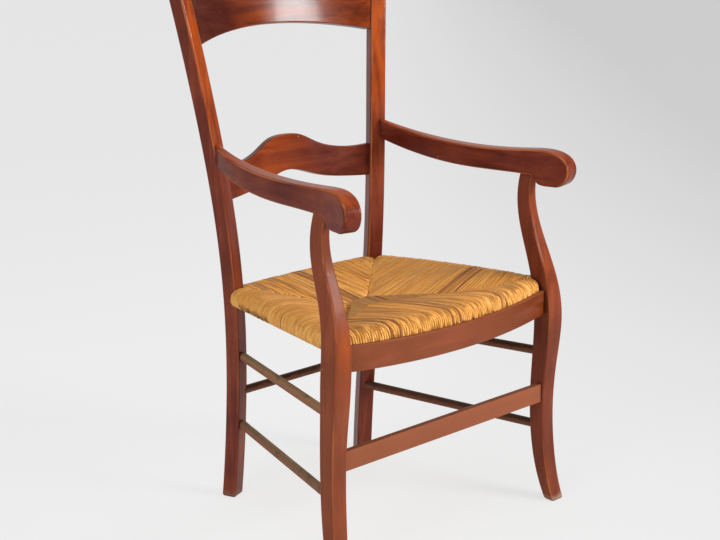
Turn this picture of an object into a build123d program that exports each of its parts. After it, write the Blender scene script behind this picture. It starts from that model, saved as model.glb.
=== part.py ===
from build123d import *
import os
from math import atan2, cos, radians, sin, sqrt, tan

os.makedirs("parts", exist_ok=True)

# Rush seat armchair. Millimetres and degrees; it stands on z = 0 and faces -Y.
# +X is the sitter's left. Places are written for that side, and side -1 mirrors them.

# Back posts: rear leg and upright in one length, given by its centre line
post_width = 32.0
post_depth = 29.0
post_turn = 22.0
post_edge_radius = 3.5
post_foot_spread = 173.0
post_foot_back = 183.0
post_shin_height = 216.0
post_shin_spread = 170.0
post_shin_back = 166.0
post_seat_height = 436.0
post_seat_spread = 179.0
post_seat_back = 158.0
post_arm_height = 725.0
post_arm_spread = 206.5
post_arm_back = 180.0
post_height = 988.0
post_top_spread = 242.5
post_top_back = 218.5
post_sections = 6
post_top_radius = 3.0

# Front legs: sabre leg and arm support in one length, given by centre line and section
leg_edge_radius = 4.0
leg_foot_spread = 280.0
leg_foot_front = 256.0
leg_foot_width = 31.0
leg_foot_depth = 24.0
leg_ankle_height = 108.0
leg_ankle_spread = 270.0
leg_ankle_front = 232.0
leg_ankle_width = 33.0
leg_ankle_depth = 32.0
leg_shin_height = 255.0
leg_shin_spread = 268.0
leg_shin_front = 228.0
leg_shin_width = 34.0
leg_shin_depth = 36.0
leg_seat_height = 400.0
leg_seat_spread = 266.5
leg_seat_front = 234.0
leg_seat_width = 37.0
leg_seat_depth = 41.0
support_bend_height = 480.0
support_bend_spread = 259.0
support_bend_front = 218.0
support_bend_width = 29.5
support_bend_depth = 39.5
support_waist_height = 540.0
support_waist_spread = 257.0
support_waist_front = 195.0
support_waist_width = 24.0
support_waist_depth = 36.0
support_top_spread = 255.5
support_top_front = 190.5
support_top_width = 18.0
support_top_depth = 30.0
leg_sections = 10
foot_wear = 5.0
foot_steps = 3

# Arms: side outline of the S curve and the rolled knuckle, then the outline seen from above
arm_rear_top = 706.0
arm_rear_depth = 38.5
arm_rear_slope = 0.28
arm_dip_back = -33.0
arm_dip_top = 681.6
arm_dip_depth = 41.6
arm_crown_top = 689.0
arm_crown_back = 8.0
arm_front_depth = 44.5
arm_rear_width = 12.5
arm_rear_inset = 1.0
arm_middle_spread = 241.0
arm_middle_back = 26.0
arm_middle_width = 28.0
arm_dip_spread = 247.5
arm_dip_width = 30.0
arm_front_spread = 290.5
arm_front_width = 35.5
arm_edge_radius = 5.0
arm_splay = 11.4
knuckle_radius = 31.0
knuckle_reach = 61.0
knuckle_lean = 34.0
knuckle_height = 656.5
throat_reach = 22.0
throat_rise = 6.5
throat_end = 8.0

# Back rails: boards bowed to the back, leaning with the posts; rises are measured up the lean
crest_half = 208.0
crest_end_back = 197.5
crest_end_height = 882.0
crest_lean = 12.0
crest_arch = 31.5
crest_end_rise = 93.0
crest_top_rise = 104.0
crest_thickness = 18.0
crest_bow = 48.7
lower_rail_half = 178.0
lower_rail_end_back = 166.5
lower_rail_end_height = 595.0
lower_rail_lean = 8.5
lower_rail_thickness = 18.0
lower_rail_bow = 31.5
lower_rail_dip_share = 0.8
lower_rail_flank_share = 0.4
lower_rail_brow_share = 0.2
lower_rail_low_end_rise = -1.5
lower_rail_low_dip_rise = 3.0
lower_rail_low_flank_rise = 15.5
lower_rail_low_crown_rise = 34.5
lower_rail_top_end_rise = 73.0
lower_rail_top_dip_rise = 63.0
lower_rail_top_flank_rise = 81.5
lower_rail_top_brow_rise = 99.5
lower_rail_top_crown_rise = 104.5
board_edge_radius = 2.5
board_over = 26.0

# Seat frame: four rails in one plane that rises to the front, and the bowed apron before it
seat_height = 420.0
seat_slope = 2.2
rail_width = 20.0
rail_height = 20.0
rail_edge_radius = 5.0
front_rail_width = 13.0
back_rail_back = 162.0
apron_top = 427.5
apron_height = 46.0
apron_sag = 4.0
apron_thickness = 9.0
apron_half = 252.0
apron_bow = 35.0
apron_end_front = 241.5
apron_edge_radius = 1.5
apron_over = 14.0

# Rush: a dished cover wrapped round the rails, with packed stuffing between its two layers
rush_thickness = 4.8
rush_top_thickness = 10.0
rush_edge_radius = 12.0
rush_corner_radius = 16.0
rush_gap = 0.3
dish_depth = 17.0
dish_radius = 760.0
dish_front = 25.0
stuffing_thickness = 5.0
stuffing_drop = 8.5
stuffing_margin = 2.0

# Stretchers
front_stretcher_top = 239.5
front_stretcher_height = 37.0
front_stretcher_thickness = 13.0
front_stretcher_front = 244.5
stretcher_edge_radius = 1.5
rod_radius = 8.5
rod_tenon_radius = 6.0
rod_rear_inset = 7.5
rod_front_inset = 3.5
upper_rod_rear_height = 294.0
upper_rod_front_height = 300.0
lower_rod_rear_height = 153.5
lower_rod_front_height = 150.5
back_rod_radius = 8.0
back_rod_tenon_radius = 5.5
back_rod_height = 219.5
back_rod_inset = 4.0

# Joints: every mortise is its tenon plus this play
play = 0.15
tenon_thickness = 8.0
thin_tenon_thickness = 5.0
tenon_stop = 6.0
rail_tenon_stop = 9.0
tenon_root = 8.0
tenon_shoulder = 5.0
arm_tenon_thickness = 6.0
arm_tenon_length = 13.0
support_tenon_width = 9.0
support_tenon_depth = 18.0
support_tenon_length = 14.0
cut_margin = 8.0


def at_height(line, height):
    """Point of a rising curve at a height, found by halving."""
    low = 0.0
    high = 1.0
    for _ in range(40):
        middle = (low + high) / 2
        if (line @ middle).Z < height:
            low = middle
        else:
            high = middle
    return line @ low


def beside(side, point):
    """The same place on the sitter's left (1) or right (-1)."""
    return Vector(side * point.X, point.Y, point.Z)


# Centre line of the left back post
post_line = Spline(
    (post_foot_spread, post_foot_back, 0),
    (post_shin_spread, post_shin_back, post_shin_height),
    (post_seat_spread, post_seat_back, post_seat_height),
    (post_arm_spread, post_arm_back, post_arm_height),
    (post_top_spread, post_top_back, post_height),
)

# The support runs up into the arm, which is cut to fit over it
knuckle_top = knuckle_height + knuckle_radius
arm_front_low = knuckle_top - arm_front_depth
leg_height = arm_front_low + cut_margin
leg_stations = (
    (0, leg_foot_spread, leg_foot_front, leg_foot_width, leg_foot_depth),
    (leg_ankle_height, leg_ankle_spread, leg_ankle_front, leg_ankle_width, leg_ankle_depth),
    (leg_shin_height, leg_shin_spread, leg_shin_front, leg_shin_width, leg_shin_depth),
    (leg_seat_height, leg_seat_spread, leg_seat_front, leg_seat_width, leg_seat_depth),
    (support_bend_height, support_bend_spread, support_bend_front, support_bend_width, support_bend_depth),
    (support_waist_height, support_waist_spread, support_waist_front, support_waist_width, support_waist_depth),
    (leg_height, support_top_spread, support_top_front, support_top_width, support_top_depth),
)
# Centre line of the left front leg, and its section as width and depth over height
leg_line = Spline(*[(spread, -front, height) for height, spread, front, width, depth in leg_stations])
leg_size = Spline(*[(width, depth, height) for height, spread, front, width, depth in leg_stations])


def foot_inset(step):
    """How far the worn edge of a foot stands in at a step of its rounding, which is a quarter circle."""
    return foot_wear * (1 - sqrt(1 - (1 - step / foot_steps) ** 2))


def post_blank(side, grow=0.0):
    """Back post before its mortises, turned a little to face the middle of the seat."""
    with BuildPart() as blank:
        for step in range(foot_steps + 1):
            height = foot_wear * step / foot_steps
            centre = beside(side, at_height(post_line, height))
            inset = foot_inset(step) - grow
            with BuildSketch(Plane.XY.offset(height)):
                with Locations((centre.X, centre.Y)):
                    RectangleRounded(
                        post_width - 2 * inset,
                        post_depth - 2 * inset,
                        post_edge_radius + grow,
                        rotation=-side * post_turn,
                    )
        loft()
        for step in range(post_sections + 1):
            height = foot_wear + (post_height - foot_wear) * step / post_sections
            centre = beside(side, at_height(post_line, height))
            with BuildSketch(Plane.XY.offset(height)):
                with Locations((centre.X, centre.Y)):
                    RectangleRounded(
                        post_width + 2 * grow,
                        post_depth + 2 * grow,
                        post_edge_radius + grow,
                        rotation=-side * post_turn,
                    )
        loft()
        fillet(blank.faces().sort_by(Axis.Z)[-1].edges(), post_top_radius)
    return blank.part


def leg_blank(side, grow=0.0):
    """Front leg and arm support before the mortises."""
    with BuildPart() as blank:
        for step in range(foot_steps + 1):
            height = foot_wear * step / foot_steps
            centre = beside(side, at_height(leg_line, height))
            section = at_height(leg_size, height)
            inset = foot_inset(step) - grow
            with BuildSketch(Plane.XY.offset(height)):
                with Locations((centre.X, centre.Y)):
                    RectangleRounded(section.X - 2 * inset, section.Y - 2 * inset, leg_edge_radius + grow)
        loft()
        for step in range(leg_sections + 1):
            height = foot_wear + (leg_height - foot_wear) * step / leg_sections
            centre = beside(side, at_height(leg_line, height))
            section = at_height(leg_size, height)
            with BuildSketch(Plane.XY.offset(height)):
                with Locations((centre.X, centre.Y)):
                    RectangleRounded(section.X + 2 * grow, section.Y + 2 * grow, leg_edge_radius + grow)
        loft()
    return blank.part


def block(plane, across, tall, start, end, grow=0.0):
    """Straight tenon along a plane's normal, or with some growth the mortise for it."""
    with BuildPart() as bar:
        with BuildSketch(plane.offset(start - grow)):
            Rectangle(across + 2 * grow, tall + 2 * grow)
        extrude(amount=end - start + 2 * grow)
    return bar.part


def facing(origin, ahead, up=Vector(0, 0, 1)):
    """Plane across a direction, with its own y upright."""
    return Plane(origin=origin, x_dir=ahead.cross(up), z_dir=ahead)


def rod(start, end, radius, short=0.0):
    """Round bar between two points, stopping short of both."""
    along = (end - start).normalized()
    with BuildPart() as bar:
        with BuildSketch(Plane(origin=start + along * short, z_dir=along)):
            Circle(radius)
        extrude(amount=(end - start).length - 2 * short)
    return bar.part


def bowed_face(half, end, bow, thickness, bulge, inset=0.0, over=0.0):
    """Plan of a bowed board with its face through (half, end); bulge -1 is forward, 1 is back."""
    radius = (half**2 + bow**2) / (2 * bow)
    centre = end - bulge * (radius - bow)
    angle = atan2(half, radius - bow) + over / radius
    near = radius + bulge * inset
    far = near + bulge * thickness

    def point(distance, turn):
        return (distance * sin(turn), centre + bulge * distance * cos(turn))

    with BuildSketch() as plan:
        with BuildLine():
            ThreePointArc(point(near, -angle), point(near, 0), point(near, angle))
            Line(point(near, angle), point(far, angle))
            ThreePointArc(point(far, angle), point(far, 0), point(far, -angle))
            Line(point(far, -angle), point(near, -angle))
        make_face()
    return plan.sketch


def apron_place(spread, inset=0.0):
    """How far back the apron's bowed face, or a face set behind it, lies at a spread."""
    radius = (apron_half**2 + apron_bow**2) / (2 * apron_bow)
    return radius - apron_bow - apron_end_front - sqrt((radius - inset) ** 2 - spread**2)


def bowed_board(half, end, height, lean, bow, thickness, rise, outline):
    """Board bowed to the back and leaning, cut to an outline seen square on."""
    up = Vector(0, sin(radians(lean)), cos(radians(lean)))
    with BuildPart() as board:
        with BuildSketch(Plane(origin=(0, end, height), x_dir=(1, 0, 0), z_dir=up)):
            add(bowed_face(half, 0, bow, thickness, 1, over=board_over))
        extrude(amount=2 * rise, both=True)
        with BuildSketch(Plane(origin=(0, end, height), x_dir=(1, 0, 0), z_dir=(0, -up.Z, up.Y))):
            add(outline)
        extrude(amount=2 * bow, both=True, mode=Mode.INTERSECT)
        fillet(board.edges().filter_by(GeomType.LINE, reverse=True), board_edge_radius)
    return board.part


sides = {"left": 1, "right": -1}
posts = {name: post_blank(side) for name, side in sides.items()}
legs = {name: leg_blank(side) for name, side in sides.items()}

# Arms: the side outline, cut to the outline seen from above, then rounded along every edge
arm_rear_centre = at_height(post_line, arm_rear_top - arm_rear_depth / 2)
turn_sin = sin(radians(post_turn))
turn_cos = cos(radians(post_turn))
post_corner_spread = arm_rear_centre.X + post_width / 2 * turn_cos - post_depth / 2 * turn_sin
post_corner_back = arm_rear_centre.Y - post_width / 2 * turn_sin - post_depth / 2 * turn_cos
arm_rear_back = post_corner_back + cut_margin
arm_rear_spread = post_corner_spread - arm_rear_inset
support_top = at_height(leg_line, leg_height)
arm_front = knuckle_reach + knuckle_radius - support_top.Y


def arm_blank(side):
    """Arm before its joints are cut. Its side outline runs along the splayed front of the arm."""
    splay = radians(arm_splay)
    along = (-side * sin(splay), cos(splay), 0)
    across = (cos(splay), side * sin(splay), 0)
    rear = arm_rear_back - support_top.Y
    dip = arm_dip_back - support_top.Y
    lean_run = knuckle_radius * sin(radians(knuckle_lean))
    lean_rise = knuckle_radius * cos(radians(knuckle_lean))
    knuckle_low = knuckle_height - knuckle_radius
    with BuildPart() as blank:
        with BuildSketch(Plane(origin=(side * support_top.X, support_top.Y, 0), x_dir=along, z_dir=across)):
            with BuildLine():
                top = Spline(
                    (rear, arm_rear_top),
                    (dip, arm_dip_top),
                    (arm_crown_back, arm_crown_top),
                    (-knuckle_reach - lean_run, knuckle_height + lean_rise),
                    tangents=((-1, -arm_rear_slope), (-lean_rise, -lean_run)),
                )
                roll = ThreePointArc(
                    top @ 1,
                    (-knuckle_reach - knuckle_radius, knuckle_height),
                    (-knuckle_reach, knuckle_low),
                )
                throat = Spline(
                    roll @ 1,
                    (-throat_reach, knuckle_low + throat_rise),
                    (-throat_end, arm_front_low),
                    tangents=((1, 0), (1, 0)),
                )
                Line(throat @ 1, (0, arm_front_low))
                under = Spline(
                    (0, arm_front_low),
                    (dip, arm_dip_top - arm_dip_depth),
                    (rear, arm_rear_top - arm_rear_depth),
                    tangents=((1, 0), (1, arm_rear_slope)),
                )
                Line(under @ 1, top @ 0)
            make_face()
        extrude(amount=4 * arm_front_width, both=True)
        with BuildSketch(Plane.XY.offset(knuckle_height - 2 * knuckle_radius)):
            with BuildLine():
                outer = Spline(
                    (side * arm_rear_spread, arm_rear_back),
                    (side * arm_middle_spread, arm_middle_back),
                    (side * arm_dip_spread, arm_dip_back),
                    (side * arm_front_spread, -arm_front - cut_margin),
                )
                inner = Spline(
                    (side * (arm_rear_spread - arm_rear_width), arm_rear_back),
                    (side * (arm_middle_spread - arm_middle_width), arm_middle_back),
                    (side * (arm_dip_spread - arm_dip_width), arm_dip_back),
                    (side * (arm_front_spread - arm_front_width), -arm_front - cut_margin),
                )
                Line(outer @ 0, inner @ 0)
                Line(outer @ 1, inner @ 1)
            make_face()
        extrude(amount=4 * knuckle_radius, mode=Mode.INTERSECT)
        fillet(blank.edges().filter_by(GeomType.LINE, reverse=True), arm_edge_radius)
    return blank.part


arms = {name: arm_blank(side) for name, side in sides.items()}

# Every mortise to be cut, listed by the piece that takes it
post_cuts = {name: [] for name in sides}
leg_cuts = {name: [] for name in sides}


def post_side(side, height):
    """Plane at a back post's centre, looking outward along its width and leaning with it."""
    centre = beside(side, at_height(post_line, height))
    above = beside(side, at_height(post_line, height + 1))
    return facing(centre, Vector(side * turn_cos, -turn_sin, 0), above - centre)


def leg_inner(height):
    """Spread of a front leg's inner face at a height."""
    return at_height(leg_line, height).X - at_height(leg_size, height).X / 2


# Crest rail
with BuildSketch() as crest_outline:
    crest_reach = crest_half + 2 * board_over
    with BuildLine():
        crest_low = ThreePointArc((-crest_half, 0), (0, crest_arch), (crest_half, 0))
        Line(crest_low @ 1, (crest_reach, 0))
        Line((crest_reach, 0), (crest_reach, crest_end_rise))
        ThreePointArc((crest_reach, crest_end_rise), (0, crest_top_rise), (-crest_reach, crest_end_rise))
        Line((-crest_reach, crest_end_rise), (-crest_reach, 0))
        Line((-crest_reach, 0), crest_low @ 0)
    make_face()

crest_tenons = []
for name, side in sides.items():
    tenon_plane = post_side(side, crest_end_height + crest_end_rise / 2)
    tenon_tall = crest_end_rise - 2 * tenon_shoulder
    tenon_size = (tenon_thickness, tenon_tall, -post_width / 2 - tenon_root, -tenon_stop)
    crest_tenons.append(block(tenon_plane, *tenon_size))
    post_cuts[name].append(block(tenon_plane, *tenon_size, play))

with BuildPart() as crest_rail:
    add(
        bowed_board(
            crest_half,
            crest_end_back,
            crest_end_height,
            crest_lean,
            crest_bow,
            crest_thickness,
            crest_top_rise,
            crest_outline.sketch,
        )
    )
    add(list(posts.values()), mode=Mode.SUBTRACT)
    add(crest_tenons)
crest_rail.part.label = "crest_rail"
export_step(crest_rail.part, "parts/crest_rail.step")

# Lower back rail: flat at the ends, humped in the middle
with BuildSketch() as lower_outline:
    lower_reach = lower_rail_half + 2 * board_over
    lower_dip = lower_rail_dip_share * lower_rail_half
    lower_flank = lower_rail_flank_share * lower_rail_half
    lower_brow = lower_rail_brow_share * lower_rail_half
    with BuildLine():
        lower_low = Spline(
            (-lower_reach, lower_rail_low_end_rise),
            (-lower_dip, lower_rail_low_dip_rise),
            (-lower_flank, lower_rail_low_flank_rise),
            (0, lower_rail_low_crown_rise),
            (lower_flank, lower_rail_low_flank_rise),
            (lower_dip, lower_rail_low_dip_rise),
            (lower_reach, lower_rail_low_end_rise),
        )
        lower_top = Spline(
            (lower_reach, lower_rail_top_end_rise),
            (lower_dip, lower_rail_top_dip_rise),
            (lower_flank, lower_rail_top_flank_rise),
            (lower_brow, lower_rail_top_brow_rise),
            (0, lower_rail_top_crown_rise),
            (-lower_brow, lower_rail_top_brow_rise),
            (-lower_flank, lower_rail_top_flank_rise),
            (-lower_dip, lower_rail_top_dip_rise),
            (-lower_reach, lower_rail_top_end_rise),
        )
        Line(lower_low @ 1, lower_top @ 0)
        Line(lower_top @ 1, lower_low @ 0)
    make_face()

lower_tenons = []
for name, side in sides.items():
    tenon_plane = post_side(side, lower_rail_end_height + lower_rail_top_dip_rise / 2)
    tenon_tall = lower_rail_top_dip_rise - 2 * tenon_shoulder
    tenon_size = (tenon_thickness, tenon_tall, -post_width / 2 - tenon_root, -tenon_stop)
    lower_tenons.append(block(tenon_plane, *tenon_size))
    post_cuts[name].append(block(tenon_plane, *tenon_size, play))

with BuildPart() as lower_back_rail:
    add(
        bowed_board(
            lower_rail_half,
            lower_rail_end_back,
            lower_rail_end_height,
            lower_rail_lean,
            lower_rail_bow,
            lower_rail_thickness,
            lower_rail_top_crown_rise,
            lower_outline.sketch,
        )
    )
    add(list(posts.values()), mode=Mode.SUBTRACT)
    add(lower_tenons)
lower_back_rail.part.label = "lower_back_rail"
export_step(lower_back_rail.part, "parts/lower_back_rail.step")

# Seat rails: the straight ones run from post to post and from post to leg
seat_up = Vector(0, sin(radians(seat_slope)), cos(radians(seat_slope)))
seat_plane = Plane(origin=(0, 0, seat_height), x_dir=(1, 0, 0), z_dir=seat_up)


def seat_place(spread, back):
    """Point of the seat plane."""
    return Vector(spread, back, seat_height - back * tan(radians(seat_slope)))


def straight_rail(start, end, grow=0.0):
    """Seat rail with rounded edges, overlong at both ends."""
    with BuildPart() as bar:
        add(block(facing(start, end - start), rail_width, rail_height, 0, (end - start).length, grow))
        fillet(bar.edges().sort_by(SortBy.LENGTH)[-4:], rail_edge_radius)
    return bar.part


def rail_tenon(start, end, grow=0.0):
    """Bar through a straight rail, whose two ends are the tenons."""
    tenon_end = (end - start).length - tenon_stop
    tall = rail_height - 2 * tenon_shoulder
    return block(facing(start, end - start), tenon_thickness, tall, tenon_stop, tenon_end, grow)


back_rail_start = seat_place(-post_seat_spread, back_rail_back)
back_rail_end = seat_place(post_seat_spread, back_rail_back)
rail_hollows = [straight_rail(back_rail_start, back_rail_end, rush_gap)]

with BuildPart() as seat_rail_back:
    add(straight_rail(back_rail_start, back_rail_end))
    add(list(posts.values()), mode=Mode.SUBTRACT)
    add(rail_tenon(back_rail_start, back_rail_end))
seat_rail_back.part.label = "seat_rail_back"
export_step(seat_rail_back.part, "parts/seat_rail_back.step")

side_rail_front = at_height(leg_line, seat_place(0, -leg_seat_front).Z)
for name, side in sides.items():
    rail_start = seat_place(side * post_seat_spread, post_seat_back)
    rail_end = seat_place(side * side_rail_front.X, side_rail_front.Y)
    rail_hollows.append(straight_rail(rail_start, rail_end, rush_gap))
    post_cuts[name].append(rail_tenon(back_rail_start, back_rail_end, play))
    post_cuts[name].append(rail_tenon(rail_start, rail_end, play))
    leg_cuts[name].append(rail_tenon(rail_start, rail_end, play))
    with BuildPart() as seat_rail:
        add(straight_rail(rail_start, rail_end))
        add([posts[name], legs[name]], mode=Mode.SUBTRACT)
        add(rail_tenon(rail_start, rail_end))
    seat_rail.part.label = "seat_rail_" + name
    export_step(seat_rail.part, "parts/seat_rail_" + name + ".step")

# Front seat rail: bowed like the apron and set behind it by the thickness of the rush
front_rail_inset = apron_thickness + rush_gap + rush_thickness


def front_rail_blank(grow=0.0):
    """Bowed rail in the seat plane, overlong at both ends."""
    with BuildPart() as bar:
        with BuildSketch(seat_plane.offset(-rail_height / 2 - grow)):
            add(
                bowed_face(
                    apron_half,
                    -apron_end_front,
                    apron_bow,
                    front_rail_width + 2 * grow,
                    -1,
                    inset=front_rail_inset - grow,
                    over=apron_over,
                )
            )
        extrude(amount=rail_height + 2 * grow)
        fillet(bar.edges().filter_by(GeomType.CIRCLE), rail_edge_radius)
    return bar.part


rail_hollows.append(front_rail_blank(rush_gap))
front_rail_tenons = []
front_rail_spread = leg_inner(side_rail_front.Z)
front_rail_place = apron_place(front_rail_spread - tenon_root / 2, front_rail_inset + front_rail_width / 2)
for name, side in sides.items():
    tenon_plane = facing(seat_place(side * front_rail_spread, front_rail_place), Vector(side, 0, 0))
    tenon_end = side_rail_front.X - rail_tenon_stop - front_rail_spread
    tenon_size = (thin_tenon_thickness, rail_height - 2 * tenon_shoulder, -tenon_root, tenon_end)
    front_rail_tenons.append(block(tenon_plane, *tenon_size))
    leg_cuts[name].append(block(tenon_plane, *tenon_size, play))

with BuildPart() as seat_rail_front:
    add(front_rail_blank())
    add(list(legs.values()), mode=Mode.SUBTRACT)
    add(front_rail_tenons)
seat_rail_front.part.label = "seat_rail_front"
export_step(seat_rail_front.part, "parts/seat_rail_front.step")

# Apron: bowed board before the rush, hanging a little lower in the middle
apron_tenons = []
apron_middle = apron_top - apron_height / 2
apron_place_end = apron_place(leg_inner(apron_middle) - tenon_root / 2, apron_thickness / 2)
for name, side in sides.items():
    tenon_origin = Vector(side * leg_inner(apron_middle), apron_place_end, apron_middle)
    tenon_plane = facing(tenon_origin, Vector(side, 0, 0))
    tenon_end = at_height(leg_line, apron_middle).X - tenon_stop - leg_inner(apron_middle)
    tenon_size = (thin_tenon_thickness, apron_height - 4 * tenon_shoulder, -tenon_root, tenon_end)
    apron_tenons.append(block(tenon_plane, *tenon_size))
    leg_cuts[name].append(block(tenon_plane, *tenon_size, play))

with BuildPart() as seat_apron:
    with BuildSketch(Plane.XY.offset(apron_top - apron_height - 2 * apron_sag)):
        add(bowed_face(apron_half, -apron_end_front, apron_bow, apron_thickness, -1, over=apron_over))
    extrude(amount=apron_height + 4 * apron_sag)
    with BuildSketch(Plane.XZ):
        apron_reach = apron_half + apron_over
        apron_low = apron_top - apron_height
        with BuildLine():
            ThreePointArc((-apron_reach, apron_top), (0, apron_top - apron_sag), (apron_reach, apron_top))
            Line((apron_reach, apron_top), (apron_reach, apron_low))
            ThreePointArc((apron_reach, apron_low), (0, apron_low - apron_sag), (-apron_reach, apron_low))
            Line((-apron_reach, apron_low), (-apron_reach, apron_top))
        make_face()
    extrude(amount=apron_end_front + 2 * apron_bow, mode=Mode.INTERSECT)
    fillet(seat_apron.edges().filter_by(GeomType.LINE, reverse=True), apron_edge_radius)
    add(list(legs.values()), mode=Mode.SUBTRACT)
    add(apron_tenons)
seat_apron.part.label = "seat_apron"
export_step(seat_apron.part, "parts/seat_apron.step")

# Front stretcher: flat board between the front legs
front_stretcher_middle = front_stretcher_top - front_stretcher_height / 2
front_stretcher_place = -front_stretcher_front + front_stretcher_thickness / 2
front_stretcher_plane = facing(Vector(0, front_stretcher_place, front_stretcher_middle), Vector(1, 0, 0))
front_stretcher_reach = at_height(leg_line, front_stretcher_middle).X
front_tenon_size = (
    thin_tenon_thickness,
    front_stretcher_height - 2 * tenon_shoulder,
    tenon_stop - front_stretcher_reach,
    front_stretcher_reach - tenon_stop,
)
for name in sides:
    leg_cuts[name].append(block(front_stretcher_plane, *front_tenon_size, play))

with BuildPart() as front_stretcher:
    add(
        block(
            front_stretcher_plane,
            front_stretcher_thickness,
            front_stretcher_height,
            -front_stretcher_reach,
            front_stretcher_reach,
        )
    )
    fillet(front_stretcher.edges().filter_by(Axis.X), stretcher_edge_radius)
    add(list(legs.values()), mode=Mode.SUBTRACT)
    add(block(front_stretcher_plane, *front_tenon_size))
front_stretcher.part.label = "front_stretcher"
export_step(front_stretcher.part, "parts/front_stretcher.step")

# Side stretchers: two rods a side, from post to leg
rod_heights = {
    "upper": (upper_rod_rear_height, upper_rod_front_height),
    "lower": (lower_rod_rear_height, lower_rod_front_height),
}
for name, side in sides.items():
    for level, (rear_height, front_height) in rod_heights.items():
        rod_start = beside(side, at_height(post_line, rear_height) - Vector(rod_rear_inset, 0, 0))
        rod_end = beside(side, at_height(leg_line, front_height) - Vector(rod_front_inset, 0, 0))
        rod_bore = rod(rod_start, rod_end, rod_tenon_radius + play, tenon_stop - play)
        post_cuts[name].append(rod_bore)
        leg_cuts[name].append(rod_bore)
        with BuildPart() as side_stretcher:
            add(rod(rod_start, rod_end, rod_radius))
            add([posts[name], legs[name]], mode=Mode.SUBTRACT)
            add(rod(rod_start, rod_end, rod_tenon_radius, tenon_stop))
        side_stretcher.part.label = "side_stretcher_" + level + "_" + name
        export_step(side_stretcher.part, "parts/side_stretcher_" + level + "_" + name + ".step")

# Back stretcher: one rod between the rear legs
back_rod_end = at_height(post_line, back_rod_height) - Vector(0, back_rod_inset, 0)
back_rod_start = beside(-1, back_rod_end)
for name in sides:
    back_bore = rod(back_rod_start, back_rod_end, back_rod_tenon_radius + play, tenon_stop - play)
    post_cuts[name].append(back_bore)

with BuildPart() as back_stretcher:
    add(rod(back_rod_start, back_rod_end, back_rod_radius))
    add(list(posts.values()), mode=Mode.SUBTRACT)
    add(rod(back_rod_start, back_rod_end, back_rod_tenon_radius, tenon_stop))
back_stretcher.part.label = "back_stretcher"
export_step(back_stretcher.part, "parts/back_stretcher.step")

# Rush: outline in the seat plane, from the back of the apron to behind the back rail
rush_half = rail_height / 2 + rush_thickness
rush_top = rail_height / 2 + rush_top_thickness
rush_back = back_rail_back + rail_width / 2 + rush_thickness
rush_rear_spread = post_seat_spread + rail_width / 2 + rush_thickness
rush_front_spread = side_rail_front.X + rail_width / 2 + rush_thickness


def rush_outline(inset):
    """The seat's outline, or one set inside it."""
    front_spread = rush_front_spread - inset
    rear_spread = rush_rear_spread - inset
    front_inset = apron_thickness + rush_gap + inset
    front = apron_place(front_spread, front_inset)
    rear = rush_back - inset
    with BuildSketch() as outline:
        with BuildLine():
            ThreePointArc((-front_spread, front), (0, apron_place(0, front_inset)), (front_spread, front))
            Line((front_spread, front), (rear_spread, rear))
            Line((rear_spread, rear), (-rear_spread, rear))
            Line((-rear_spread, rear), (-front_spread, front))
        make_face()
    return outline.sketch


def stuffing_body(grow=0.0):
    """Packed rush inside the frame."""
    with BuildPart() as body:
        with BuildSketch(seat_plane.offset(-stuffing_drop - stuffing_thickness / 2 - grow)):
            add(rush_outline(2 * rush_half + stuffing_margin - grow))
        extrude(amount=stuffing_thickness + 2 * grow)
    return body.part


with BuildPart() as rush_stuffing:
    add(stuffing_body())
rush_stuffing.part.label = "rush_stuffing"
export_step(rush_stuffing.part, "parts/rush_stuffing.step")

with BuildPart() as rush_seat:
    with BuildSketch(seat_plane.offset(-rush_half)):
        add(rush_outline(0))
    extrude(amount=rush_half + rush_top)
    fillet(rush_seat.edges().filter_by(Axis((0, 0, 0), seat_up)), rush_corner_radius)
    fillet(rush_seat.faces().sort_by(Axis.Z)[-1].edges(), rush_edge_radius)
    fillet(rush_seat.faces().sort_by(Axis.Z)[0].edges(), rush_edge_radius)
    with Locations(seat_plane.offset(rush_top + dish_radius - dish_depth).location * Pos(0, -dish_front, 0)):
        Sphere(dish_radius, mode=Mode.SUBTRACT)
    for name, side in sides.items():
        add([post_blank(side, rush_gap), leg_blank(side, rush_gap)], mode=Mode.SUBTRACT)
        corner = beside(side, at_height(post_line, seat_height))
        with BuildSketch(Plane(origin=corner, x_dir=(turn_cos, -side * turn_sin, 0))):
            with Locations((side * post_width, post_width - post_depth / 2)):
                Rectangle(2 * post_width, 2 * post_width)
        extrude(amount=2 * rush_half, both=True, mode=Mode.SUBTRACT)
    add(rail_hollows, mode=Mode.SUBTRACT)
    add(stuffing_body(rush_gap), mode=Mode.SUBTRACT)
rush_seat.part.label = "rush_seat"
export_step(rush_seat.part, "parts/rush_seat.step")

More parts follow.
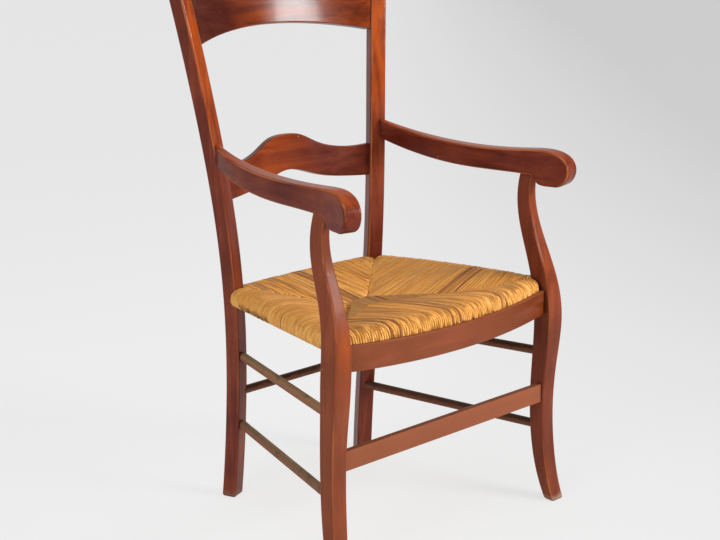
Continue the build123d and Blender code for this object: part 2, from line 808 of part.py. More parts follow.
# Arms, and the joints at both their ends
arm_run = Vector(arm_rear_spread - arm_middle_spread, arm_rear_back - arm_middle_back, 0)
arm_tenon_tall = arm_rear_depth - 2 * tenon_shoulder
arm_tenon_size = (arm_tenon_thickness, arm_tenon_tall, -tenon_root, arm_tenon_length)
support_tenon_size = (support_tenon_width, support_tenon_depth, -tenon_root, support_tenon_length)
for name, side in sides.items():
    arm_end = Vector(
        arm_rear_spread - arm_rear_width / 2,
        post_corner_back,
        arm_rear_top - arm_rear_depth / 2 - arm_rear_slope * cut_margin,
    )
    arm_plane = facing(beside(side, arm_end), beside(side, arm_run))
    post_cuts[name].append(block(arm_plane, *arm_tenon_size, play))
    support_plane = Plane(origin=(side * support_top.X, support_top.Y, arm_front_low))
    with BuildPart() as arm:
        add(arms[name])
        add(posts[name], mode=Mode.SUBTRACT)
        add(block(support_plane, *support_tenon_size, play), mode=Mode.SUBTRACT)
        add(block(arm_plane, *arm_tenon_size))
    arm.part.label = "arm_" + name
    export_step(arm.part, "parts/arm_" + name + ".step")

    with BuildPart() as front_leg:
        add(legs[name])
        add(arms[name], mode=Mode.SUBTRACT)
        add(leg_cuts[name], mode=Mode.SUBTRACT)
        add(block(support_plane, *support_tenon_size))
    front_leg.part.label = "front_leg_" + name
    export_step(front_leg.part, "parts/front_leg_" + name + ".step")

    with BuildPart() as back_post:
        add(posts[name])
        add(post_cuts[name], mode=Mode.SUBTRACT)
    back_post.part.label = "back_post_" + name
    export_step(back_post.part, "parts/back_post_" + name + ".step")
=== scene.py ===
"""Rush seat armchair: finishes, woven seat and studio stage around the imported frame."""

import math
import random

import bmesh
import bpy
from mathutils import Matrix, Vector
from mathutils.geometry import intersect_line_line_2d


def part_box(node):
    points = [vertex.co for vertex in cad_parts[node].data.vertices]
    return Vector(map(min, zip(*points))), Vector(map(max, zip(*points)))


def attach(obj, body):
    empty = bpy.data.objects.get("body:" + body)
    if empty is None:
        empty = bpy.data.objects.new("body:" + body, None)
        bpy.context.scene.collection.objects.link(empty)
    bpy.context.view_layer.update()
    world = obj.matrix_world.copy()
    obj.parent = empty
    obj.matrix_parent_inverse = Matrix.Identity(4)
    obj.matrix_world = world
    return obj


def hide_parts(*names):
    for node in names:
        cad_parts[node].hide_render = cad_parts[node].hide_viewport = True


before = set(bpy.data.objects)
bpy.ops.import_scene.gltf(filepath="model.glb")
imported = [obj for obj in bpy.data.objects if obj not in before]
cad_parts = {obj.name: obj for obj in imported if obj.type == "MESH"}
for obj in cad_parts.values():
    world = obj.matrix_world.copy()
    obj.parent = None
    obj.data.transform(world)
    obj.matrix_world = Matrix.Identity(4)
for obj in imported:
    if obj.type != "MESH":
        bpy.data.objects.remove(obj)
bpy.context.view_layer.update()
rush_low, rush_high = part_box("rush_seat")

bl_info = {
    "name": "Rush Seat Armchair",
    "version": (1, 0, 0),
    "blender": (4, 5, 0),
    "location": "View3D > Sidebar > Armchair",
    "description": "Varnished fruitwood, worn rods, a woven rush seat and a pale studio",
    "category": "Object",
}

mm = 0.001


def linear(code):
    """An sRGB hex colour as linear red, green and blue."""
    parts = [int(code[place:place + 2], 16) / 255 for place in (1, 3, 5)]
    return [part / 12.92 if part <= 0.04045 else ((part + 0.055) / 1.055) ** 2.4 for part in parts]


def paint(name, description, code):
    """A colour that a user may change."""
    return bpy.props.FloatVectorProperty(
        name=name, description=description, subtype="COLOR", size=3, min=0, max=1, default=linear(code))


def length(name, description, millimetres):
    """A length that a user may change."""
    return bpy.props.FloatProperty(
        name=name, description=description, unit="LENGTH", subtype="DISTANCE", precision=4,
        default=millimetres * mm)


# Settings


class ArmchairWood(bpy.types.PropertyGroup):
    """Colours and sizes of the varnished frame and the worn rods."""

    shade: paint("Shade", "Dark reddish brown of late wood and of thick varnish", "#4f1b12")
    body: paint("Body", "Middle red-brown of the varnished fruitwood", "#6b2b1d")
    light: paint("Light", "Early wood that shows through the varnish", "#853e27")
    faded: paint("Faded", "Paler brown of the lower frame, where the varnish has gone dull", "#a0603f")
    # Partly painted light: this orange goes on the front faces of the posts, legs, crest and lower rail,
    # toward the lamps
    facing_tone_and_painted_light: paint("Glow", "Thin orange varnish, as on the upper posts", "#a8480f")
    worn: paint("Worn edge", "Varnish rubbed through along the edges", "#b9713f")
    ding: paint("Ding", "Bare wood in small knocks", "#cf9a78")
    foot: paint("Foot", "Grey-brown end grain of the worn feet", "#a08a74")
    # Also painted shade in the corners, laid where ambient occlusion is low
    grime_and_shade: paint("Grime", "Dirt and old polish in the corners", "#260d07")
    rod: paint("Rod", "Red-brown side of the stretcher rods", "#94532f")
    rod_top: paint("Rod top", "Dusty olive brown where feet have rubbed the rods", "#86694a")
    rod_dark: paint("Rod dark", "Old stain left on the rods", "#35190f")
    bare: paint("Bare rail", "Unvarnished beech of the hidden seat rails", "#b58c5e")
    streak_width: length("Streak width", "Width of the slow light and dark streaks along the grain", 8.0)
    fibre_width: length("Fibre width", "Width of the fine streaks along the grain", 1.1)


class ArmchairRush(bpy.types.PropertyGroup):
    """Sizes and colours of the woven seat."""

    gold: paint("Gold", "Aged rush in the light", "#e6a24a")
    straw: paint("Straw", "Palest leaves in a strand", "#f8c976")
    tan: paint("Tan", "Darker leaves in a strand", "#cf8a3a")
    brown: paint("Brown", "Strands twisted from red-brown leaves", "#6e3a24")
    dulled: paint("Dulled", "Red-brown of the top, where it has been sat on", "#a0581c")
    groove: paint("Groove", "Shade and dust between two strands", "#68380f")
    strand_width: length("Strand width", "Width of one twisted strand", 4.6)
    strand_thickness: length("Strand thickness", "Thickness of one strand after years of sitting", 4.4)
    edge_rise: length("Edge rise", "Top of the rush above the middle of the rails", 18.5)
    under_drop: length("Under drop", "Underside of the rush below the middle of the rails", 14.8)
    middle_height: length("Middle height", "Height of the dished middle above the floor", 416.0)
    front_drop: length("Front drop", "How much lower the rush is over the front rail", 1.0)
    side_bulge: length("Side bulge", "How far the rush rises at the middle of each side", 6.0)
    back_bulge: length("Back bulge", "How far the rush rises at the middle of the back", 3.0)
    dome: length("Dome", "How far from its outer edge the rush is highest", 36.0)
    front_dome: length("Front dome", "The same at the front edge", 27.0)
    roll_under: length("Roll under", "Radius of the rush round the rail's lower edge", 13.0)
    front_under: length("Front under", "The same at the front, where the rush lies against the apron", 6.5)
    seed: bpy.props.IntProperty(name="Seed", description="Changes the unevenness of the strands", default=7)


class ArmchairStage(bpy.types.PropertyGroup):
    """Camera, lamps and floor."""

    camera_place: bpy.props.FloatVectorProperty(
        name="Camera place", description="Where the camera stands", subtype="TRANSLATION", unit="LENGTH",
        default=(-1.820, -1.999, 1.211))
    camera_turn: bpy.props.FloatVectorProperty(
        name="Camera turn", description="How the camera is turned", subtype="EULER", unit="ROTATION",
        default=(math.radians(74.54), 0, math.radians(-42.32)))
    camera_lens: bpy.props.FloatProperty(
        name="Lens", description="Focal length on a 36 mm wide sensor", unit="CAMERA", default=74.77)
    floor_tone: paint("Floor", "Pale paper of the studio floor", "#f3f3f3")
    front_power: bpy.props.FloatProperty(
        name="Front lamp", description="Power of the soft lamp before the chair", unit="POWER", default=76)
    side_power: bpy.props.FloatProperty(
        name="Side lamp", description="Power of the weaker lamp at the sitter's right", unit="POWER",
        default=24)
    top_power: bpy.props.FloatProperty(
        name="Top lamp", description="Power of the soft lamp overhead", unit="POWER", default=20)
    room_light: bpy.props.FloatProperty(
        name="Room light", description="Even light from the pale room", default=0.40, min=0)


# Nodes of a material


def put(tree, kind, values=None, stops=None, **settings):
    """Adds a node.

    Settings are its options, values fill its sockets with numbers or links, stops are a ramp's colours.
    """
    made = tree.nodes.new(kind)
    for name, setting in settings.items():
        setattr(made, name, setting)
    for socket, value in (values or {}).items():
        if isinstance(value, bpy.types.NodeSocket):
            tree.links.new(value, made.inputs[socket])
        else:
            made.inputs[socket].default_value = value
    for number, (place, tone) in enumerate(stops or []):
        if number < 2:
            stop = made.color_ramp.elements[number]
            stop.position = place
        else:
            stop = made.color_ramp.elements.new(place)
        stop.color = (tone, tone, tone, 1) if isinstance(tone, (int, float)) else (*tone, 1)
    return made


def fresh_material(name):
    """An empty material with its node tree and its shader."""
    made = bpy.data.materials.new(name)
    made.use_nodes = True
    tree = made.node_tree
    tree.nodes.clear()
    shader = put(tree, "ShaderNodeBsdfPrincipled")
    put(tree, "ShaderNodeOutputMaterial", {"Surface": shader.outputs["BSDF"]})
    return made, tree, shader


grain_stretch = 0.035


def varnished_fruitwood(name, wood, along, depth=1.0, fade=0.0, polish=0.16, scuffed=0.8, facing_tone_and_painted_light=None):
    """Cherry, planed and scraped by hand, stained and varnished.

    The eye sees red-brown wood with faint streaks along the grain and slow darker patches, another tone
    on the faces that look one way, such as orange that is partly thin varnish and partly painted light on
    the faces toward the lamps, pale rubbed edges, small knocks, worn feet, old polish and painted shade in
    the corners, and a soft gloss. The last argument gives that tone, the way its faces look, an axis,
    where on that axis its stretch starts and ends in metres, and its shares along the stretch.
    """
    made, tree, shader = fresh_material(name)
    place = put(tree, "ShaderNodeTexCoord")
    spot = put(tree, "ShaderNodeSeparateXYZ", {"Vector": place.outputs["Object"]})
    surface = put(tree, "ShaderNodeNewGeometry")
    # Grain: fine fibres, wider streaks and patches of about 9 cm
    stretch = [grain_stretch if axis == along else 1.0 for axis in "XYZ"]
    fibre_place = put(tree, "ShaderNodeMapping", {"Vector": place.outputs["Object"], "Scale": stretch})
    fibre = put(tree, "ShaderNodeTexNoise", {
        "Vector": fibre_place.outputs["Vector"], "Scale": 0.5 / wood.fibre_width,
        "Detail": 4.0, "Roughness": 0.6})
    streak = put(tree, "ShaderNodeTexNoise", {
        "Vector": fibre_place.outputs["Vector"], "Scale": 0.5 / wood.streak_width, "Detail": 2.0,
        "Distortion": 0.6})
    patch = put(tree, "ShaderNodeTexNoise", {
        "Vector": place.outputs["Object"], "Scale": 11.0, "Detail": 3.0})
    figure = put(tree, "ShaderNodeMath", {0: streak.outputs["Fac"], 1: 0.4}, operation="MULTIPLY")
    figure = put(tree, "ShaderNodeMath", {
        0: fibre.outputs["Fac"], 1: 0.22, 2: figure.outputs[0]}, operation="MULTIPLY_ADD")
    figure = put(tree, "ShaderNodeMath", {
        0: patch.outputs["Fac"], 1: 0.38, 2: figure.outputs[0]}, operation="MULTIPLY_ADD")
    tones = [[(part * (1 - fade) + pale * fade) * depth for part, pale in zip(tone, wood.faded)]
             for tone in (wood.shade, wood.light, wood.body)]
    colour = put(tree, "ShaderNodeValToRGB", {"Fac": figure.outputs[0]}, stops=[
        (0.34, tones[0]), (0.66, tones[1]), (0.5, tones[2])]).outputs["Color"]
    # Another tone on the faces that look one way; where it is the orange, it is partly thin varnish and
    # partly painted light on the faces toward the lamps
    if facing_tone_and_painted_light:
        hue, looks, axis, low, high, shares = facing_tone_and_painted_light
        ragged = put(tree, "ShaderNodeMath", {
            0: patch.outputs["Fac"], 1: 0.05, 2: spot.outputs[axis]}, operation="MULTIPLY_ADD")
        ranged = put(tree, "ShaderNodeMapRange", {
            "Value": ragged.outputs[0], "From Min": low + 0.025, "From Max": high + 0.025})
        share = put(tree, "ShaderNodeValToRGB", {"Fac": ranged.outputs["Result"]}, stops=shares)
        facing = put(tree, "ShaderNodeVectorMath", {
            0: surface.outputs["Normal"], 1: looks}, operation="DOT_PRODUCT")
        turned = put(tree, "ShaderNodeMapRange", {
            "Value": facing.outputs["Value"], "From Min": 0.35, "From Max": 0.85})
        share = put(tree, "ShaderNodeMath", {
            0: share.outputs["Color"], 1: turned.outputs["Result"]}, operation="MULTIPLY")
        streaky = put(tree, "ShaderNodeMapRange", {
            "Value": streak.outputs["Fac"], "From Min": 0.36, "From Max": 0.6, "To Min": 0.4})
        share = put(tree, "ShaderNodeMath", {
            0: share.outputs[0], 1: streaky.outputs["Result"]}, operation="MULTIPLY")
        bright = put(tree, "ShaderNodeMix", {
            0: figure.outputs[0], 6: (*[part * 0.62 for part in hue], 1),
            7: (*[part * 1.3 for part in hue], 1)},
            data_type="RGBA")
        colour = put(tree, "ShaderNodeMix", {
            0: share.outputs[0], 6: colour, 7: bright.outputs[2]}, data_type="RGBA").outputs[2]
    # Rubbed edges: the rounded faces between two flat sides
    turning = put(tree, "ShaderNodeSeparateXYZ", {"Vector": surface.outputs["Normal"]})
    turning = put(tree, "ShaderNodeMath", {
        0: turning.outputs["X" if along in "YZ" else "Z"]}, operation="ABSOLUTE")
    begins = put(tree, "ShaderNodeMapRange", {
        "Value": turning.outputs[0], "From Min": 0.35, "From Max": 0.6})
    ends = put(tree, "ShaderNodeMapRange", {
        "Value": turning.outputs[0], "From Min": 0.93, "From Max": 0.82})
    edge = put(tree, "ShaderNodeMath", {
        0: begins.outputs["Result"], 1: ends.outputs["Result"]}, operation="MULTIPLY")
    rub = put(tree, "ShaderNodeTexNoise", {
        "Vector": fibre_place.outputs["Vector"], "Scale": 60.0, "Detail": 3.0})
    rubbed = put(tree, "ShaderNodeMapRange", {
        "Value": rub.outputs["Fac"], "From Min": 0.40, "From Max": 0.62})
    wear = put(tree, "ShaderNodeMath", {
        0: edge.outputs[0], 1: rubbed.outputs["Result"]}, operation="MULTIPLY")
    wear = put(tree, "ShaderNodeMath", {0: wear.outputs[0], 1: 0.62}, operation="MULTIPLY")
    colour = put(tree, "ShaderNodeMix", {
        0: wear.outputs[0], 6: colour, 7: (*wood.worn, 1)}, data_type="RGBA").outputs[2]
    # Knocks 2 to 3 mm wide, at most one in each 45 mm
    knock = put(tree, "ShaderNodeTexVoronoi", {"Vector": place.outputs["Object"], "Scale": 22.0})
    chosen = put(tree, "ShaderNodeSeparateXYZ", {"Vector": knock.outputs["Color"]})
    chosen = put(tree, "ShaderNodeMath", {0: chosen.outputs["X"], 1: 0.62}, operation="GREATER_THAN")
    small = put(tree, "ShaderNodeMapRange", {
        "Value": knock.outputs["Distance"], "From Min": 0.035, "From Max": 0.02})
    small = put(tree, "ShaderNodeMath", {
        0: small.outputs["Result"], 1: chosen.outputs[0]}, operation="MULTIPLY")
    small = put(tree, "ShaderNodeMath", {0: small.outputs[0], 1: 0.6}, operation="MULTIPLY")
    colour = put(tree, "ShaderNodeMix", {
        0: small.outputs[0], 6: colour, 7: (*wood.ding, 1)}, data_type="RGBA").outputs[2]
    # Worn feet: about the lowest 15 mm, with a ragged upper edge
    tread = put(tree, "ShaderNodeMath", {
        0: rub.outputs["Fac"], 1: 0.022, 2: spot.outputs["Z"]}, operation="MULTIPLY_ADD")
    tread = put(tree, "ShaderNodeMapRange", {
        "Value": tread.outputs[0], "From Min": 0.026, "From Max": 0.014, "To Max": scuffed})
    colour = put(tree, "ShaderNodeMix", {
        0: tread.outputs["Result"], 6: colour, 7: (*wood.foot, 1)}, data_type="RGBA").outputs[2]
    # Dirt and painted shade in the corners: darker where ambient occlusion finds nearby surfaces
    corner = put(tree, "ShaderNodeAmbientOcclusion", {"Distance": 0.014}, samples=6)
    dirt_and_shade = put(tree, "ShaderNodeMapRange", {
        "Value": corner.outputs["AO"], "From Min": 0.75, "From Max": 0.2, "To Max": 0.75})
    colour = put(tree, "ShaderNodeMix", {
        0: dirt_and_shade.outputs["Result"], 6: colour, 7: (*wood.grime_and_shade, 1)}, data_type="RGBA").outputs[2]
    tree.links.new(colour, shader.inputs["Base Color"])
    # Gloss: duller where the wood is faded, rubbed or trodden
    gloss = put(tree, "ShaderNodeMapRange", {
        "Value": patch.outputs["Fac"], "From Min": 0.3, "From Max": 0.7,
        "To Min": 0.16 + 0.3 * fade, "To Max": 0.3 + 0.3 * fade})
    dull = put(tree, "ShaderNodeMath", {
        0: wear.outputs[0], 1: 0.25, 2: gloss.outputs["Result"]}, operation="MULTIPLY_ADD")
    dull = put(tree, "ShaderNodeMath", {
        0: tread.outputs["Result"], 1: 0.4, 2: dull.outputs[0]}, operation="MULTIPLY_ADD")
    tree.links.new(dull.outputs[0], shader.inputs["Roughness"])
    relief = put(tree, "ShaderNodeBump", {
        "Height": fibre.outputs["Fac"], "Strength": 0.1, "Distance": 0.0005})
    tree.links.new(relief.outputs["Normal"], shader.inputs["Normal"])
    shader.inputs["IOR"].default_value = 1.5
    shader.inputs["Specular IOR Level"].default_value = polish
    shader.inputs["Coat Weight"].default_value = polish / 2
    shader.inputs["Coat Roughness"].default_value = 0.1
    return made


def worn_rod(name, wood, along, stain):
    """Beech rods, shaved round, stained and rubbed by feet.

    The eye sees a dusty olive top, a red-brown side, patches of old dark stain and almost no gloss.
    """
    made, tree, shader = fresh_material(name)
    place = put(tree, "ShaderNodeTexCoord")
    stretch = [grain_stretch if axis == along else 1.0 for axis in "XYZ"]
    fibre_place = put(tree, "ShaderNodeMapping", {"Vector": place.outputs["Object"], "Scale": stretch})
    fibre = put(tree, "ShaderNodeTexNoise", {
        "Vector": fibre_place.outputs["Vector"], "Scale": 0.5 / wood.fibre_width, "Detail": 4.0,
        "Roughness": 0.65})
    patch = put(tree, "ShaderNodeTexNoise", {
        "Vector": place.outputs["Object"], "Scale": 32.0, "Detail": 4.0})
    surface = put(tree, "ShaderNodeNewGeometry")
    facing = put(tree, "ShaderNodeSeparateXYZ", {"Vector": surface.outputs["Normal"]})
    ragged = put(tree, "ShaderNodeMath", {
        0: patch.outputs["Fac"], 1: 1.2, 2: facing.outputs["Z"]}, operation="MULTIPLY_ADD")
    upper = put(tree, "ShaderNodeMapRange", {
        "Value": ragged.outputs[0], "From Min": 0.75, "From Max": 1.15})
    rubbed = put(tree, "ShaderNodeMix", {
        0: stain, 6: (*wood.rod_top, 1), 7: (*wood.rod_dark, 1)}, data_type="RGBA", clamp_factor=True)
    side = put(tree, "ShaderNodeValToRGB", {"Fac": fibre.outputs["Fac"]}, stops=[
        (0.35, [part * (0.7 - 0.35 * stain) for part in wood.rod]),
        (0.65, [part * (1 - 0.45 * stain) for part in wood.rod])])
    colour = put(tree, "ShaderNodeMix", {
        0: upper.outputs["Result"], 6: side.outputs["Color"], 7: rubbed.outputs[2]},
        data_type="RGBA").outputs[2]
    spots = put(tree, "ShaderNodeMapRange", {
        "Value": patch.outputs["Fac"], "From Min": 0.56, "From Max": 0.72, "To Max": 0.55})
    colour = put(tree, "ShaderNodeMix", {
        0: spots.outputs["Result"], 6: colour, 7: (*wood.rod_dark, 1)}, data_type="RGBA").outputs[2]
    # Dirt and painted shade in the corners: darker where ambient occlusion finds nearby surfaces
    corner = put(tree, "ShaderNodeAmbientOcclusion", {"Distance": 0.014}, samples=6)
    dirt_and_shade = put(tree, "ShaderNodeMapRange", {
        "Value": corner.outputs["AO"], "From Min": 0.75, "From Max": 0.2, "To Max": 0.7})
    colour = put(tree, "ShaderNodeMix", {
        0: dirt_and_shade.outputs["Result"], 6: colour, 7: (*wood.grime_and_shade, 1)}, data_type="RGBA").outputs[2]
    tree.links.new(colour, shader.inputs["Base Color"])
    rough = put(tree, "ShaderNodeMapRange", {
        "Value": patch.outputs["Fac"], "To Min": 0.45, "To Max": 0.65})
    tree.links.new(rough.outputs["Result"], shader.inputs["Roughness"])
    relief = put(tree, "ShaderNodeBump", {
        "Height": fibre.outputs["Fac"], "Strength": 0.25, "Distance": 0.0006})
    tree.links.new(relief.outputs["Normal"], shader.inputs["Normal"])
    shader.inputs["Specular IOR Level"].default_value = 0.3
    return made


def bare_beech(name, wood, along):
    """Sawn beech without finish, as left on rails that the rush hides: pale, streaked and matt."""
    made, tree, shader = fresh_material(name)
    place = put(tree, "ShaderNodeTexCoord")
    stretch = [grain_stretch if axis == along else 1.0 for axis in "XYZ"]
    fibre_place = put(tree, "ShaderNodeMapping", {"Vector": place.outputs["Object"], "Scale": stretch})
    fibre = put(tree, "ShaderNodeTexNoise", {
        "Vector": fibre_place.outputs["Vector"], "Scale": 0.5 / wood.fibre_width, "Detail": 4.0})
    colour = put(tree, "ShaderNodeValToRGB", {"Fac": fibre.outputs["Fac"]}, stops=[
        (0.35, [part * 0.7 for part in wood.bare]), (0.65, wood.bare)])
    tree.links.new(colour.outputs["Color"], shader.inputs["Base Color"])
    shader.inputs["Roughness"].default_value = 0.7
    relief = put(tree, "ShaderNodeBump", {
        "Height": fibre.outputs["Fac"], "Strength": 0.3, "Distance": 0.0008})
    tree.links.new(relief.outputs["Normal"], shader.inputs["Normal"])
    return made


def twisted_rush(name, rush):
    """Rush leaves, dried, twisted by hand into strands and browned by age.

    The eye sees each strand in its own gold or tan, thin leaf lines that wind round it at a slant, dust
    and painted shade in the grooves between strands, a duller top and a faint waxy shine.
    """
    made, tree, shader = fresh_material(name)
    strand = put(tree, "ShaderNodeAttribute", attribute_name="strand_place")
    tone = put(tree, "ShaderNodeAttribute", attribute_name="strand_tone")
    brown = put(tree, "ShaderNodeAttribute", attribute_name="strand_brown")
    # Along in metres, across from -1 to 1: a leaf line is some 40 mm long and winds round slowly
    leaf_place = put(tree, "ShaderNodeMapping", {
        "Vector": strand.outputs["Vector"], "Rotation": (0, 0, math.radians(18)),
        "Scale": (25.0, 1.9, 1.0)})
    leaf = put(tree, "ShaderNodeTexNoise", {
        "Vector": leaf_place.outputs["Vector"], "Scale": 1.0, "Detail": 3.0})
    slow_place = put(tree, "ShaderNodeMapping", {
        "Vector": strand.outputs["Vector"], "Scale": (9.0, 0.3, 1.0)})
    slow = put(tree, "ShaderNodeTexNoise", {
        "Vector": slow_place.outputs["Vector"], "Scale": 1.0, "Detail": 2.0})
    figure = put(tree, "ShaderNodeMath", {0: leaf.outputs["Fac"], 1: 0.42}, operation="MULTIPLY")
    figure = put(tree, "ShaderNodeMath", {
        0: slow.outputs["Fac"], 1: 0.22, 2: figure.outputs[0]}, operation="MULTIPLY_ADD")
    figure = put(tree, "ShaderNodeMath", {
        0: tone.outputs["Fac"], 1: 0.08, 2: figure.outputs[0]}, operation="MULTIPLY_ADD")
    colour = put(tree, "ShaderNodeValToRGB", {"Fac": figure.outputs[0]}, stops=[
        (0.16, rush.tan), (0.48, rush.straw), (0.32, rush.gold)]).outputs["Color"]
    colour = put(tree, "ShaderNodeMix", {
        0: brown.outputs["Fac"], 6: colour, 7: (*rush.brown, 1)}, data_type="RGBA").outputs[2]
    surface = put(tree, "ShaderNodeNewGeometry")
    facing = put(tree, "ShaderNodeSeparateXYZ", {"Vector": surface.outputs["Normal"]})
    sat_on = put(tree, "ShaderNodeMapRange", {
        "Value": facing.outputs["Z"], "From Min": 0.45, "From Max": 0.95, "To Max": 0.4})
    colour = put(tree, "ShaderNodeMix", {
        0: sat_on.outputs["Result"], 6: colour, 7: (*rush.dulled, 1)}, data_type="RGBA").outputs[2]
    # Dust and painted shade in the grooves: darker towards each strand's flanks
    across = put(tree, "ShaderNodeSeparateXYZ", {"Vector": strand.outputs["Vector"]})
    flank = put(tree, "ShaderNodeMath", {0: across.outputs["Y"]}, operation="ABSOLUTE")
    dark = put(tree, "ShaderNodeMapRange", {
        "Value": flank.outputs[0], "From Min": 0.4, "From Max": 0.86, "To Max": 0.55})
    colour = put(tree, "ShaderNodeMix", {
        0: dark.outputs["Result"], 6: colour, 7: (*rush.groove, 1)}, data_type="RGBA").outputs[2]
    tree.links.new(colour, shader.inputs["Base Color"])
    shader.inputs["Roughness"].default_value = 0.5
    shader.inputs["IOR"].default_value = 1.45
    shader.inputs["Specular IOR Level"].default_value = 0.3
    relief = put(tree, "ShaderNodeBump", {
        "Height": leaf.outputs["Fac"], "Strength": 0.4, "Distance": 0.0006})
    tree.links.new(relief.outputs["Normal"], shader.inputs["Normal"])
    return made


def finish(nodes, material):
    """Gives CAD nodes a better material in their own slots."""
    for name in nodes:
        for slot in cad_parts[name].material_slots:
            slot.material = material


# Weave

seat_height = 0.420
seat_slope = math.radians(2.2)


def seat_plane(back):
    """Height of the middle of the seat rails, which drop towards the back."""
    return seat_height - back * math.tan(seat_slope)


# Outer edges of the rush, in metres
front_bow = 0.0321
front_reach = 0.240
front_half = 0.243
back_half = 0.158
side_splay = math.radians(12.0)
side_middle = 0.2313
side_front = -0.211
side_run = 0.346
side_length = 0.352
# Where the sides are highest, and how far the rise goes from there and from the middle of the back
side_top = -0.03
side_reach = 0.2
back_reach = 0.17
# Course of a strand: it slopes from its mitre to the dome, rolls over the rail and turns back underneath
shortest_strand = 0.024
longest_search = 0.6
mitre_overlap = 0.002
mitre_sink = 0.005
mitre_sag = 1.5
slope_places = (1.0, 0.9, 0.6, 0.3)
slope_sag = 1.25
dome_limit = 0.7
dome_fullness = 0.78
dome_angles = (90, 68, 48, 30, 10)
turn_angles = (-12, -52, -90)
under_middle = 0.55
under_middle_rise = 0.001
under_end_rise = 0.004
# Ring of a strand, and how far apart the strands lie in the noise of their material
ring_sides = 6
noise_apart = 3.7
# Unevenness of the strands
uneven_height = 0.0005
uneven_aside = 0.0005
uneven_size = 0.07
swell_pace = 1.7
sway_pace = 1.1
strand_widths = (1.18, 1.34)
strand_thicknesses = (0.92, 1.08)
stray_brown_chance = 0.05
stray_browns = (0.05, 0.15)
# Upper mitres, from the seat's corners to the short ridge in the middle; left is the sitter's left, +X
ridge_right = Vector((-0.054, -0.042))
ridge_left = Vector((-0.016, -0.036))
mitres = {
    "back_right": (Vector((-0.168, 0.141)), ridge_right),
    "back_left": (Vector((0.168, 0.141)), ridge_left),
    "front_right": (Vector((-0.249, -0.216)), ridge_right),
    "front_left": (Vector((0.249, -0.216)), ridge_left),
    "ridge": (ridge_right, ridge_left),
}


def front_edge(spread):
    """The front edge of the rush, bowed forwards."""
    return Vector((spread, rush_low.y + front_bow * (spread / front_reach) ** 2))


def mitre_share(name, spot):
    """How far along a mitre a spot is, from 0 at the corner to 1 at the ridge."""
    if name == "ridge":
        return 1.0
    corner, ridge = mitres[name]
    return (spot - corner).length / (ridge - corner).length


def strand_end(outer, inward):
    """Where a strand meets the next panel: the spot, and how far along its mitre that is."""
    far = outer + inward * longest_search
    found = None
    for name, (corner, ridge) in mitres.items():
        spot = intersect_line_line_2d(outer, far, corner, ridge)
        if spot is not None and (found is None or (spot - outer).length < (found[0] - outer).length):
            found = (spot, mitre_share(name, spot))
    return found


def crown_height(panel, outer, rush):
    """Height of the rush where it is highest over its rail."""
    level = seat_plane(outer.y) + rush.edge_rise
    if panel == "front":
        return level - rush.front_drop
    if panel == "back":
        return level + rush.back_bulge * max(0, 1 - (outer.x / back_reach) ** 2)
    return level + rush.side_bulge * max(0, 1 - ((outer.y - side_top) / side_reach) ** 2)


def strand_path(panel, outer, inward, rush, chance):
    """Centre line of a strand, from its mitre over the rail and back underneath; None if too short."""
    found = strand_end(outer, inward)
    if found is None:
        return None
    spot, share = found
    reach = (spot - outer).length
    half = rush.strand_thickness / 2
    if reach < shortest_strand:
        return None
    crown = crown_height(panel, outer, rush) - half
    corner = seat_plane(spot.y) + rush.edge_rise - half
    under = seat_plane(outer.y) - rush.under_drop + half
    mitre = corner + (rush.middle_height - half - corner) * (1 - (1 - share) ** mitre_sag)
    lift = chance.uniform(-uneven_height, uneven_height)
    dome = min(rush.front_dome if panel == "front" else rush.dome, reach * dome_limit)
    path = [(reach + mitre_overlap, mitre - mitre_sink)]
    for place in slope_places:
        run = dome + (reach - mitre_sink - dome) * place
        path.append((run, crown + (mitre - crown) * place ** slope_sag + lift))
    turn_under = rush.front_under if panel == "front" else rush.roll_under
    low = turn_under - half
    rise = crown - under - low
    for angle in dome_angles:
        turn = math.radians(angle)
        inset = (dome - half) * math.cos(turn) ** dome_fullness
        path.append((dome - inset, crown - rise + rise * math.sin(turn) ** dome_fullness + lift))
    for angle in turn_angles:
        turn = math.radians(angle)
        path.append((turn_under - low * math.cos(turn), under + low + low * math.sin(turn)))
    path.append((reach * under_middle, under + under_middle_rise))
    path.append((reach, under + under_end_rise))
    return [Vector((*(outer + inward * run), height)) for run, height in path]


def strand_layers(mesh):
    """The layers that tell the material where on a strand it is, and the strand's own tone."""
    names = mesh.verts.layers.float_vector, mesh.verts.layers.float, mesh.verts.layers.float
    return [kind.new(name) for kind, name in zip(names, ("strand_place", "strand_tone", "strand_brown"))]


